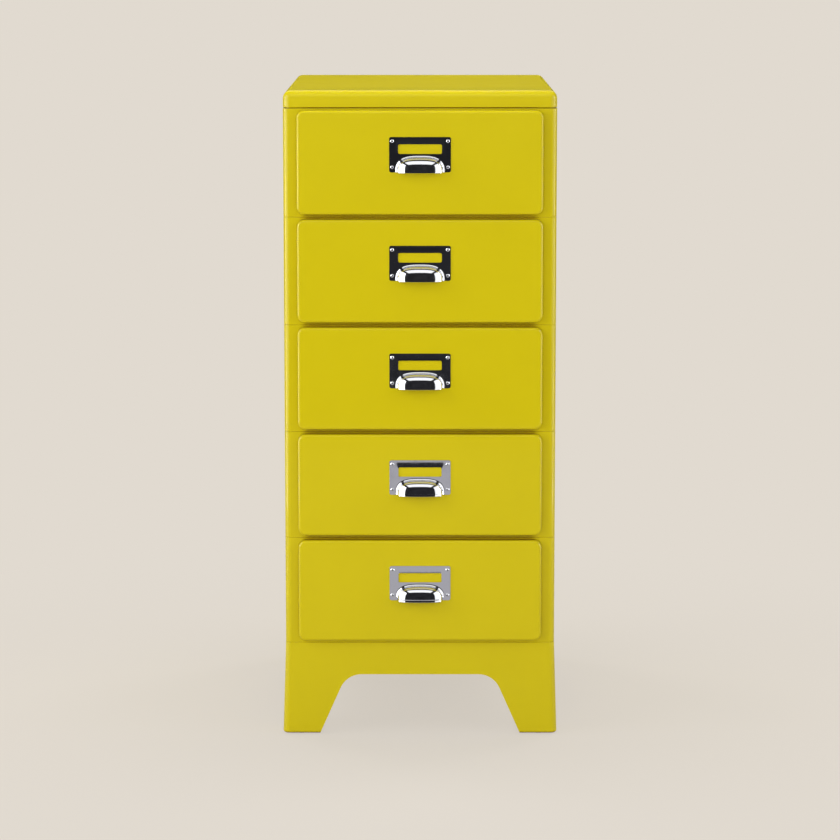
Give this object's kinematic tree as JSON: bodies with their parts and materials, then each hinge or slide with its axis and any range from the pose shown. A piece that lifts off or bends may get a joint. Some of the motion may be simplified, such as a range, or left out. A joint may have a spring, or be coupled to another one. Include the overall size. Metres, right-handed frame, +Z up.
{
  "type": "archive cabinet",
  "caption": "Slim enamelled steel chest of stacked drawer cases on a flared leg base, with pressed fronts that slide out by chrome label-holder cup pulls.",
  "frame": {"origin": "on the floor under the middle of the overall box, from the tips of the pulls to the back of the flared base", "axes": "+Z up; the drawer fronts face -Y and the drawers slide out along -Y; X is across the front"},
  "size_m": [0.2858, 0.4069, 0.671],
  "materials": {
    "yellow_enamel": "smooth satin-gloss baked enamel",
    "chrome": "mirror chrome plate on stamped steel",
    "galvanised_steel": "dull galvanised sheet",
    "zinc_steel": "bright zinc plate",
    "black_plastic": "moulded black plastic",
    "black_rubber": "moulded black rubber"
  },
  "bodies": {
    "cabinet": {"top_cap": "yellow_enamel", "leg_base": "yellow_enamel", "foot_glides": "black_plastic", "closing_buffers": "black_rubber", "cap_bolts": "zinc_steel", "cap_nuts": "zinc_steel", "case_bolts": "zinc_steel", "case_nuts": "zinc_steel", "base_bolts": "zinc_steel", "base_nuts": "zinc_steel", "case_1": "yellow_enamel", "back_panel_1": "yellow_enamel", "runner_left_1": "galvanised_steel", "runner_right_1": "galvanised_steel", "case_2": "yellow_enamel", "back_panel_2": "yellow_enamel", "runner_left_2": "galvanised_steel", "runner_right_2": "galvanised_steel", "case_3": "yellow_enamel", "back_panel_3": "yellow_enamel", "runner_left_3": "galvanised_steel", "runner_right_3": "galvanised_steel", "case_4": "yellow_enamel", "back_panel_4": "yellow_enamel", "runner_left_4": "galvanised_steel", "runner_right_4": "galvanised_steel", "case_5": "yellow_enamel", "back_panel_5": "yellow_enamel", "runner_left_5": "galvanised_steel", "runner_right_5": "galvanised_steel"},
    "drawer_1": {"tray_1": "yellow_enamel", "drawer_front_1": "yellow_enamel", "front_liner_1": "yellow_enamel", "label_pull_1": "chrome", "pull_rivets_1": "chrome"},
    "drawer_2": {"tray_2": "yellow_enamel", "drawer_front_2": "yellow_enamel", "front_liner_2": "yellow_enamel", "label_pull_2": "chrome", "pull_rivets_2": "chrome"},
    "drawer_3": {"tray_3": "yellow_enamel", "drawer_front_3": "yellow_enamel", "front_liner_3": "yellow_enamel", "label_pull_3": "chrome", "pull_rivets_3": "chrome"},
    "drawer_4": {"tray_4": "yellow_enamel", "drawer_front_4": "yellow_enamel", "front_liner_4": "yellow_enamel", "label_pull_4": "chrome", "pull_rivets_4": "chrome"},
    "drawer_5": {"tray_5": "yellow_enamel", "drawer_front_5": "yellow_enamel", "front_liner_5": "yellow_enamel", "label_pull_5": "chrome", "pull_rivets_5": "chrome"}
  },
  "joints": [
    {"name": "drawer_1_slide", "type": "slide", "parent": "cabinet", "child": "drawer_1", "axis": [0, -1, 0], "range_m": [0, 0.285]},
    {"name": "drawer_2_slide", "type": "slide", "parent": "cabinet", "child": "drawer_2", "axis": [0, -1, 0], "range_m": [0, 0.285]},
    {"name": "drawer_3_slide", "type": "slide", "parent": "cabinet", "child": "drawer_3", "axis": [0, -1, 0], "range_m": [0, 0.285]},
    {"name": "drawer_4_slide", "type": "slide", "parent": "cabinet", "child": "drawer_4", "axis": [0, -1, 0], "range_m": [0, 0.285]},
    {"name": "drawer_5_slide", "type": "slide", "parent": "cabinet", "child": "drawer_5", "axis": [0, -1, 0], "range_m": [0, 0.285]}
  ]
}
